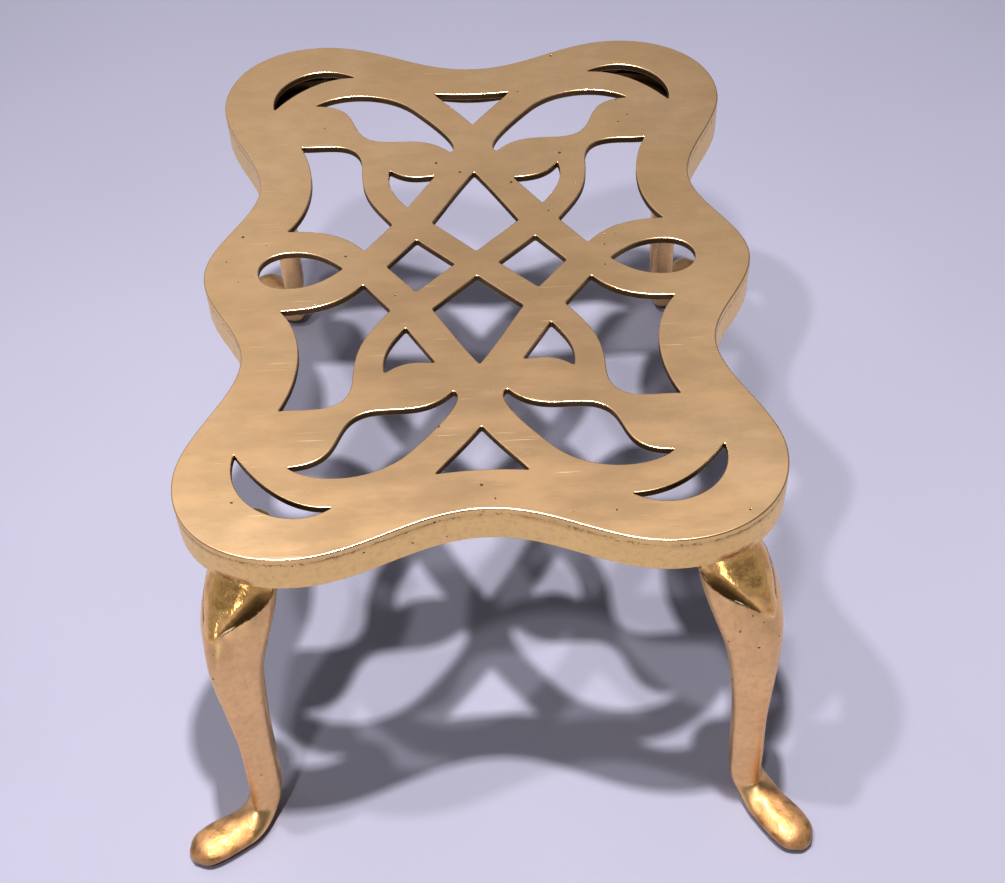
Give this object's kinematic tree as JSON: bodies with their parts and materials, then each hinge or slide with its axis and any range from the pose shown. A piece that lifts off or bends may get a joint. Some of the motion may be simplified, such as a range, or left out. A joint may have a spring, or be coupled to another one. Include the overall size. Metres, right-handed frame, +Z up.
{
  "type": "pot stand",
  "caption": "Pierced strapwork brass stand with a wavy edge, a deep skirt below it and splayed cabriole legs on pad feet.",
  "frame": {"origin": "on the floor under the middle of the top", "axes": "+Z up, +X to the right along the width, +Y to the back along the length"},
  "size_m": [0.2451, 0.3341, 0.165],
  "materials": {
    "top_brass": "satin, brushed along its width",
    "skirt_brass": "satin, duller than the top",
    "leg_brass": "satin shanks, polished knees and feet",
    "screw_brass": "dull, as turned"
  },
  "bodies": {
    "root": {"top_plate": "top_brass", "skirt": "skirt_brass", "leg_front_left": "leg_brass", "leg_front_right": "leg_brass", "leg_back_left": "leg_brass", "leg_back_right": "leg_brass", "screw_front_left_1": "screw_brass", "screw_front_left_2": "screw_brass", "screw_front_right_1": "screw_brass", "screw_front_right_2": "screw_brass", "screw_back_left_1": "screw_brass", "screw_back_left_2": "screw_brass", "screw_back_right_1": "screw_brass", "screw_back_right_2": "screw_brass"}
  },
  "joints": []
}
